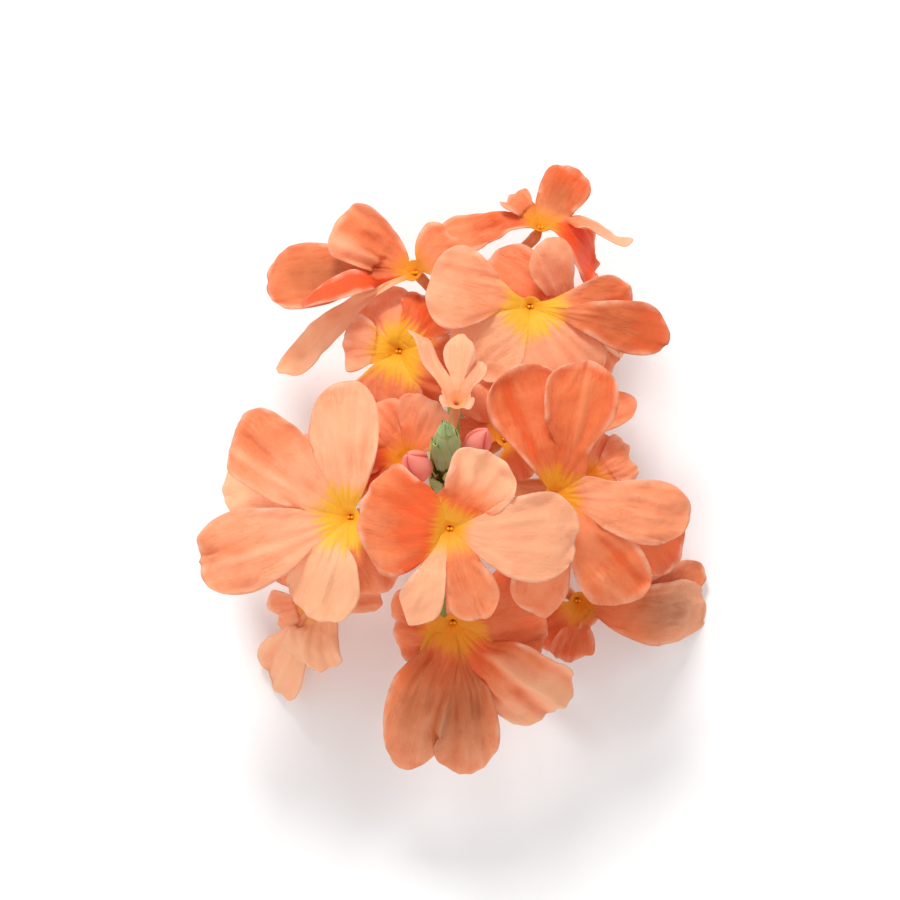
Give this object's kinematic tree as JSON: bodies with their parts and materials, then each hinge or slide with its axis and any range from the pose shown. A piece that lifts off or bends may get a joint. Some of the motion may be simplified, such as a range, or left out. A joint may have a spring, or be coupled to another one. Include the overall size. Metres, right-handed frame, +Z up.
{
  "type": "crossandra flower head",
  "caption": "Picked crossandra flower head: salmon-orange fan-lobed flowers round green bract spikes on a short forked stem, lying on a surface.",
  "frame": {"origin": "on the surface that the head lies on, below the middle of its box", "axes": "+Z up from the surface, the way the front flowers face; +Y from the stem's cut end towards the upper flowers; +X to the right seen from above"},
  "size_m": [0.09, 0.108, 0.0548],
  "materials": {
    "petal": "satin",
    "bract": "matte",
    "bud": "satin"
  },
  "bodies": {
    "root": {"sprig": "bract", "flower_front": "petal", "flower_left": "petal", "flower_right": "petal", "flower_low": "petal", "flower_low_right": "petal", "flower_low_left": "petal", "flower_left_back": "petal", "flower_young": "petal", "flower_behind": "petal", "flower_behind_right": "petal", "flower_right_back": "petal", "flower_upper_right": "petal", "flower_upper_left": "petal", "flower_far_left": "petal", "flower_far_right": "petal", "flower_right_hidden": "petal", "bud_left": "bud", "bud_right": "bud"}
  },
  "joints": []
}
